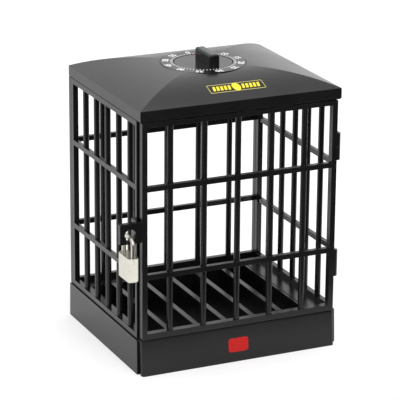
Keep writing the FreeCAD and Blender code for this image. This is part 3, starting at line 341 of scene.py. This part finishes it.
# %% Boxes about the dial
BOX_CORNERS = np.array([(x, y, z) for x in (-0.5, 0.5) for y in (-0.5, 0.5) for z in (0.0, 1.0)])
BOX_FACES = np.array([(0, 1, 3, 2), (4, 6, 7, 5), (0, 4, 5, 1), (2, 3, 7, 6), (0, 2, 6, 4), (1, 5, 7, 3)])


def mesh_from(name, vertices_mm, faces, material, body):
    """An object at the origin, with its place in its mesh, that rides on a body."""
    mesh = bpy.data.meshes.new(name)
    faces = faces.tolist() if isinstance(faces, np.ndarray) else faces
    mesh.from_pydata((vertices_mm * MM).tolist(), [], faces)
    mesh.materials.append(material)
    thing = bpy.data.objects.new(name, mesh)
    bpy.context.scene.collection.objects.link(thing)
    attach(thing, body)
    return thing


def spokes(name, turns, inner, outer, width, base, height, material, body):
    """Slabs that point to the Z axis.

    A corner (u, v, w) of the unit box goes to radius r = inner + (u + 1/2)(outer - inner) along the
    spoke, v times width across it and base + w times height up. A turn t, clockwise from the back,
    sends (along, across) to (along sin t + across cos t, along cos t - across sin t).
    """
    turns = np.asarray(turns, float)[:, None]
    along = inner + (BOX_CORNERS[None, :, 0] + 0.5) * (outer - inner)
    across = BOX_CORNERS[None, :, 1] * width
    up = np.broadcast_to(base + BOX_CORNERS[None, :, 2] * height, (len(turns), 8))
    x = along * np.sin(turns) + across * np.cos(turns)
    y = along * np.cos(turns) - across * np.sin(turns)
    vertices = np.stack([x, y, up], axis=-1).reshape(-1, 3)
    faces = (BOX_FACES[None] + 8 * np.arange(len(turns))[:, None, None]).reshape(-1, 4)
    # along and across swap handedness, so each face is listed the other way round
    return mesh_from(name, vertices, faces[:, ::-1], material, body)


# %% [markdown]
# Sixty strokes stand about the disc, and every fifth is longer and wider. One more slab, in red,
# lies on the disc itself and turns with it, so that it points to the time that is left.

# %% Strokes and the index line
INK_MM = 0.05
STROKE_START = DISC_RADIUS + 0.9
minutes = np.arange(60)
minute_turns = 2 * np.pi * minutes / len(minutes)
is_fifth = minutes % 5 == 0
spokes("minute_strokes", minute_turns[~is_fifth], STROKE_START, DISC_RADIUS + 2.4, 0.5,
       DIAL_TOP, INK_MM, white_ink, "cage")
spokes("five_minute_strokes", minute_turns[is_fifth], STROKE_START, DISC_RADIUS + 2.6, 0.7,
       DIAL_TOP, INK_MM, white_ink, "cage")
spokes("index_line", [0.0], DISC_RADIUS - 4.8, DISC_RADIUS - 0.8, 0.6,
       DISC_TOP, INK_MM, red_ink, "timer")
print("strokes:", len(minutes), "and one index line")

# %% [markdown]
# The numbers are text, made into meshes at once. Each stands with its foot to the centre, so a
# number is turned by its own share of the circle and moved out to just beyond the ring's middle.
# A figure of this font is about 0.7 of the font's size, and a small offset makes its stems bolder.

# %% The numbers
NUMBER_HEIGHT = 3.7
NUMBER_RADIUS = (DISC_RADIUS + DIAL_RADIUS) / 2 + 1.2
STEM_SWELL_MM = 0.13
FIGURE_SHARE = 0.7


def number_mesh(word, height_mm):
    """A word as a flat mesh centred on the origin: vertices in millimetres, faces."""
    curve = bpy.data.curves.new("number", "FONT")
    curve.body = word
    curve.align_x = "CENTER"
    curve.align_y = "CENTER"
    curve.size = height_mm * MM / FIGURE_SHARE
    curve.extrude = INK_MM * MM / 2
    curve.offset = STEM_SWELL_MM * MM
    holder = bpy.data.objects.new("number", curve)
    bpy.context.scene.collection.objects.link(holder)
    bpy.context.view_layer.update()
    mesh = bpy.data.meshes.new_from_object(holder.evaluated_get(bpy.context.evaluated_depsgraph_get()))
    points = np.empty(len(mesh.vertices) * 3)
    mesh.vertices.foreach_get("co", points)
    faces = [list(face.vertices) for face in mesh.polygons]
    bpy.data.objects.remove(holder)
    bpy.data.meshes.remove(mesh)
    points = points.reshape(-1, 3) / MM
    points[:, :2] -= (points[:, :2].min(axis=0) + points[:, :2].max(axis=0)) / 2
    return points, faces


def ring_of_numbers(words, radius, height_mm):
    """Numbers round the dial: (x, y) goes to the place at radius + y along the spoke, x across it."""
    vertices, faces, first = [], [], 0
    for place, word in enumerate(words):
        points, word_faces = number_mesh(word, height_mm)
        turn = 2 * math.pi * place / len(words)
        along = radius + points[:, 1]
        across = points[:, 0]
        x = along * math.sin(turn) + across * math.cos(turn)
        y = along * math.cos(turn) - across * math.sin(turn)
        vertices.append(np.stack([x, y, DIAL_TOP + INK_MM / 2 + points[:, 2]], axis=-1))
        faces += [[corner + first for corner in face] for face in word_faces]
        first += len(points)
    return mesh_from("dial_numbers", np.concatenate(vertices), faces, white_ink, "cage")


numbers = ring_of_numbers([str(5 * i) for i in range(12)], NUMBER_RADIUS, NUMBER_HEIGHT)
print("number faces:", len(numbers.data.polygons))

# %% [markdown]
# ## Two small plates
#
# The front slope of the lid carries a narrow plate and the fascia a small red one. Both are plain
# here. The narrow one has a thin border, slanting bars and an oval in the middle. The lid's
# slope is an arc of a circle across its depth, so the plate is bent to it: a point at depth y gets
# the height of that arc.

# %% The lid's slope as a formula
ROOF_RISE = 9.55
FRONT_RUN = 40.0
ROOF_RADIUS = (FRONT_RUN ** 2 + ROOF_RISE ** 2) / (2 * ROOF_RISE)
SLOPE_START = -lid_low[1] - FRONT_RUN


def slope_height(y):
    """Height of the front slope at depth y: z = top - R + sqrt(R^2 - (|y| - start)^2)."""
    reach = np.clip(-np.asarray(y) - SLOPE_START, 0.0, None)
    return lid_high[2] - ROOF_RADIUS + np.sqrt(ROOF_RADIUS ** 2 - reach ** 2)


# %% [markdown]
# A film is laid from a grid of places in the lid's plan. Every point of the grid is lifted to the
# slope, once for the top and once a little lower for the underside.

# %% Bent film


def film(name, flat, rise, material, body, thickness=INK_MM):
    """A thin film on the slope, from a grid of places (x, y) on it.

    Its top lies rise above the slope and its underside thickness lower, and a band of faces closes
    the edge.
    """
    down, across = flat.shape[:2]
    flat = flat.reshape(-1, 2)
    top = np.column_stack([flat, slope_height(flat[:, 1]) + rise])
    under = top - (0, 0, thickness)
    cell = np.arange(across * down).reshape(down, across)
    quads = np.stack([cell[:-1, :-1], cell[:-1, 1:], cell[1:, 1:], cell[1:, :-1]], axis=-1).reshape(-1, 4)
    rim = np.concatenate([cell[0, :-1], cell[:-1, -1], cell[-1, :0:-1], cell[:0:-1, 0]])
    after = np.roll(rim, -1)
    count = across * down
    band = np.stack([rim, rim + count, after + count, after], axis=-1)
    faces = np.concatenate([quads, (quads + count)[:, ::-1], band])
    return mesh_from(name, np.concatenate([top, under]), faces, material, body)


# %% [markdown]
# All places on the plate are given about its own centre. A grid of four corners gives the plate,
# its border and the five slanting bars on each side. The same grid pressed into a disc gives the
# oval between them.

# %% The narrow plate
PLATE_X, PLATE_Y = 18.4, 4.15
PLATE_CENTRE = np.array([1.1, -45.2])
PLATE_RISE = 0.10
PLATE_THICKNESS = 0.15
BORDER = 0.38
INSET = 0.15
BAR_WIDTH, BAR_REACH, BAR_SLANT = 1.7, 2.1, 0.8
BAR_MIDDLES = (4.6, 7.1, 9.6, 12.1, 14.6)
U, V = np.meshgrid(np.linspace(-1, 1, 13), np.linspace(-1, 1, 9))


def patch(left, right, low, high, slant=0.0):
    """A four-cornered grid on the plate: x = middle + half u + slant v / 2, y = middle + half v."""
    x = (left + right) / 2 + (right - left) / 2 * U + slant / 2 * V
    y = (low + high) / 2 + (high - low) / 2 * V
    return np.stack([x, y], axis=-1) + PLATE_CENTRE


def oval(half_wide, half_deep):
    """The square grid pressed into a disc: x = a u sqrt(1 - v^2 / 2), y = b v sqrt(1 - u^2 / 2)."""
    x = half_wide * U * np.sqrt(1 - V ** 2 / 2)
    y = half_deep * V * np.sqrt(1 - U ** 2 / 2)
    return np.stack([x, y], axis=-1) + PLATE_CENTRE


film("roof_plate", patch(-PLATE_X, PLATE_X, -PLATE_Y, PLATE_Y), PLATE_RISE, label_black, "cage",
     PLATE_THICKNESS)
wide, deep = PLATE_X - INSET, PLATE_Y - INSET
edges = {
    "front": (-wide, wide, -deep, BORDER - deep),
    "back": (-wide, wide, deep - BORDER, deep),
    "left": (-wide, BORDER - wide, -deep, deep),
    "right": (wide - BORDER, wide, -deep, deep),
}
for side, limits in edges.items():
    film(f"roof_plate_{side}", patch(*limits), PLATE_RISE + INK_MM, border_ink, "cage")
middles = [-middle for middle in reversed(BAR_MIDDLES)] + list(BAR_MIDDLES)
for bar, middle in enumerate(middles):
    limits = (middle - BAR_WIDTH / 2, middle + BAR_WIDTH / 2, -BAR_REACH, BAR_REACH, BAR_SLANT)
    film(f"roof_plate_bar_{bar}", patch(*limits), PLATE_RISE + INK_MM, yellow_ink, "cage")
film("roof_plate_oval", oval(2.7, 3.9), PLATE_RISE + 2 * INK_MM, yellow_ink, "cage")
print("roof plate", 2 * PLATE_X, "by", 2 * PLATE_Y, "mm")

# %% [markdown]
# The red plate is a rounded slab. Its outline is a superellipse, |x/a|^n + |z/b|^n = 1, which with
# n about 7 is a rectangle with soft corners, and is one line of numpy. The fascia leans back, so
# each point of the slab starts at the fascia's depth at its own height.

# %% The red plate on the fascia
FASCIA_LEAN = 1.7
RIM_POINTS = 64


def fascia_depth(z):
    """Depth of the leaning fascia's face at height z: y = foot + lean z / height."""
    return fascia_low[1] + FASCIA_LEAN * z / fascia_high[2]


def soft_slab(name, centre, half_wide, half_tall, thickness, material, body, power=7.0):
    """A slab that stands off the fascia's face: x = a |cos t|^(2/n), z = b |sin t|^(2/n).

    The rim is repeated three times: at the face, at the slab's edge, and a little smaller in front,
    which rounds the edge. The front and the back are closed with one face each.
    """
    turn = np.linspace(0, 2 * np.pi, RIM_POINTS, endpoint=False)
    x = np.sign(np.cos(turn)) * np.abs(np.cos(turn)) ** (2 / power)
    z = np.sign(np.sin(turn)) * np.abs(np.sin(turn)) ** (2 / power)
    rims = []
    for shrink, depth in ((0.0, 0.0), (0.0, thickness * 0.6), (thickness * 0.6, thickness)):
        height = centre[1] + z * (half_tall - shrink)
        x_places = centre[0] + x * (half_wide - shrink)
        rims.append(np.column_stack([x_places, fascia_depth(height) - depth, height]))
    here = np.arange(RIM_POINTS)
    after = np.roll(here, -1)
    faces = []
    for low in (0, RIM_POINTS):
        high = low + RIM_POINTS
        faces += np.stack([here + low, after + low, after + high, here + high], axis=-1).tolist()
    faces.append((here + 2 * RIM_POINTS).tolist())
    faces.append(here[::-1].tolist())
    return mesh_from(name, np.concatenate(rims), faces, material, body)


red_plate_x = (fascia_low[0] + fascia_high[0]) / 2 - 0.85
soft_slab("fascia_plate", (red_plate_x, 10.8), 6.7, 4.45, 0.35, label_red, "cage")
print("red plate centred at x", round(float(red_plate_x), 2))

# %% [markdown]
# ## Floor, light and camera
#
# The photograph was taken in a white cove. The floor here is a plain pale sheet that keeps the
# soft shadow, and what surrounds the scene is white behind and dimmer in front, where a
# photographer's dark room would be: that is why the door looks blacker than the left side.

# %% A switch for rays


def blend(tree, factor, low, high):
    """low where factor is 0 and high where it is 1; each is an output or a plain number."""
    node = tree.nodes.new("ShaderNodeMix")
    node.data_type = "FLOAT"
    tree.links.new(factor, node.inputs[0])
    for slot, end in ((2, low), (3, high)):
        if isinstance(end, float):
            node.inputs[slot].default_value = end
        else:
            tree.links.new(end, node.inputs[slot])
    return node.outputs[0]


# %% [markdown]
# The stage is written in metres. The sheet ends a little in front of the object, because the door
# would mirror a white floor there. Its own colour is a light grey, and the camera sees a constant
# more of it, which makes it white and leaves the shadow on it.

# %% Floor
SHEET_HALF_WIDTH = 4.0
SHEET_BACK = 6.0
SHEET_FRONT = -0.14
FLOOR_LEVEL = -0.00008


def pale_floor(lift=0.42, shine=0.3):
    """A pale sheet that the camera sees a little brighter, so that only the shadow on it is grey.

    Gloss sees it brighter as well, except in front of the object, where the room is dim.
    """
    mesh = bpy.data.meshes.new("floor")
    left, right = -SHEET_HALF_WIDTH, SHEET_HALF_WIDTH
    corners = [(left, SHEET_FRONT), (right, SHEET_FRONT), (right, SHEET_BACK), (left, SHEET_BACK)]
    mesh.from_pydata([(x, y, FLOOR_LEVEL) for x, y in corners], [], [(0, 1, 2, 3)])
    floor = bpy.data.objects.new("floor", mesh)
    bpy.context.scene.collection.objects.link(floor)
    material, tree, shader = new_material("pale_floor")
    tree.links.new(ramp(tree, noise_on(tree, 3.0), (0.60, 0.60, 0.60), (0.62, 0.62, 0.62)),
                   shader.inputs["Base Color"])
    shader.inputs["Roughness"].default_value = 0.9
    shader.inputs["Specular IOR Level"].default_value = 0.1
    glow = tree.nodes.new("ShaderNodeEmission")
    path = tree.nodes.new("ShaderNodeLightPath")
    side = map_range(tree, axis_of(tree, "Object", "Y"), -0.12, 0.06, 0.0, shine)
    mirrored = blend(tree, path.outputs["Is Glossy Ray"], 0.0, side)
    seen = blend(tree, path.outputs["Is Camera Ray"], mirrored, lift)
    both = tree.nodes.new("ShaderNodeAddShader")
    tree.links.new(seen, glow.inputs["Strength"])
    tree.links.new(shader.outputs["BSDF"], both.inputs[0])
    tree.links.new(glow.outputs["Emission"], both.inputs[1])
    tree.links.new(both.outputs["Shader"], tree.nodes["Material Output"].inputs["Surface"])
    mesh.materials.append(material)
    print("floor: seen", lift, "brighter by the camera, up to", shine, "brighter by gloss")


pale_floor()

# %% [markdown]
# The world is asked three questions. A camera ray gets plain white. A dull surface gets an even
# fill. A glossy one gets the cove, white behind and a little dimmer overhead, and the dim room in
# front. The two join over a band of directions beside the object.

# %% World


def studio_world(fill=0.95, dim=0.06):
    """White for the camera, even fill for dull surfaces, and a white cove open to the front for gloss."""
    world = bpy.data.worlds.new("studio")
    bpy.context.scene.world = world
    world.use_nodes = True
    tree = world.node_tree
    background = tree.nodes["Background"]
    path = tree.nodes.new("ShaderNodeLightPath")
    rise = axis_of(tree, "Generated", "Z")
    cove = map_range(tree, rise, 0.3, 0.9, 1.0, 0.82)
    room = map_range(tree, rise, 0.3, 1.0, dim, 0.7)
    behind = map_range(tree, axis_of(tree, "Generated", "Y"), -0.35, 0.25, 0.0, 1.0)
    mirrored = blend(tree, behind, room, cove)
    shiny = tree.nodes.new("ShaderNodeMath")
    shiny.operation = "MAXIMUM"
    tree.links.new(path.outputs["Is Glossy Ray"], shiny.inputs[0])
    tree.links.new(path.outputs["Is Transmission Ray"], shiny.inputs[1])
    lit = blend(tree, shiny.outputs["Value"], fill, mirrored)
    seen = blend(tree, path.outputs["Is Camera Ray"], lit, 1.0)
    tree.links.new(seen, background.inputs["Strength"])
    background.inputs["Color"].default_value = (1.0, 1.0, 1.0, 1.0)
    print("world: fill", fill, "and room", dim)


studio_world()

# %% [markdown]
# Two large soft lamps give the shadow its direction. One hangs overhead. The other stands high in
# front, where no upright face mirrors it to the camera, and lifts only what scatters light, such
# as the padlock.

# %% Lamps


def soft_lamp(name, place, aim, size, power):
    """A square soft lamp at place that looks at aim, both in metres."""
    data = bpy.data.lights.new(name, "AREA")
    data.shape = "SQUARE"
    data.size = size
    data.energy = power
    lamp = bpy.data.objects.new(name, data)
    lamp.location = place
    lamp.rotation_euler = (Vector(aim) - Vector(place)).to_track_quat("-Z", "Y").to_euler()
    bpy.context.scene.collection.objects.link(lamp)
    print(name, "at", place)


OBJECT_MIDDLE = (0, 0, 0.1)
soft_lamp("top_lamp", (0.1, 0.1, 1.6), OBJECT_MIDDLE, 1.0, 4.0)
soft_lamp("front_lamp", (-0.2, -1.2, 1.1), OBJECT_MIDDLE, 0.9, 10.5)

# %% [markdown]
# The camera stands well above the lid and to the left of the door and looks down by eighteen
# degrees. Its long lens keeps the upright edges nearly parallel. A turn of less than half a degree
# about its own axis levels the picture as the photograph is. Its axes are the columns of a matrix:
# right, up and back, each at right angles to the others. Its place is in hundredths of the case's
# width, the unit in which it was fitted to the photograph.

# %% Camera
AZIMUTH, ELEVATION, ROLL = math.radians(-24.74), math.radians(18.47), math.radians(0.43)
HUNDREDTH_OF_WIDTH = 0.00133
PLACE_IN_HUNDREDTHS = Vector((-433.7, -938.8, 410.4))
SENSOR_MM = 36.0
FOCAL_PIXELS = 2309.2
PICTURE_PIXELS = 400.0
BACK = Vector((math.sin(AZIMUTH) * math.cos(ELEVATION), -math.cos(AZIMUTH) * math.cos(ELEVATION),
               math.sin(ELEVATION)))
level_right = Vector((0, 0, 1)).cross(BACK).normalized()
level_up = BACK.cross(level_right)
right = level_right * math.cos(ROLL) + level_up * math.sin(ROLL)
up = BACK.cross(right)
camera_data = bpy.data.cameras.new("camera")
camera_data.sensor_width = SENSOR_MM
camera_data.lens = SENSOR_MM * FOCAL_PIXELS / PICTURE_PIXELS
camera_data.clip_end = 50.0
camera = bpy.data.objects.new("camera", camera_data)
turn = Matrix((right, up, BACK)).transposed().to_4x4()
camera.matrix_world = Matrix.Translation(PLACE_IN_HUNDREDTHS * HUNDREDTH_OF_WIDTH) @ turn
bpy.context.scene.collection.objects.link(camera)
bpy.context.scene.camera = camera
bpy.context.scene.view_settings.view_transform = "Standard"
print("lens:", round(camera_data.lens, 1), "mm")
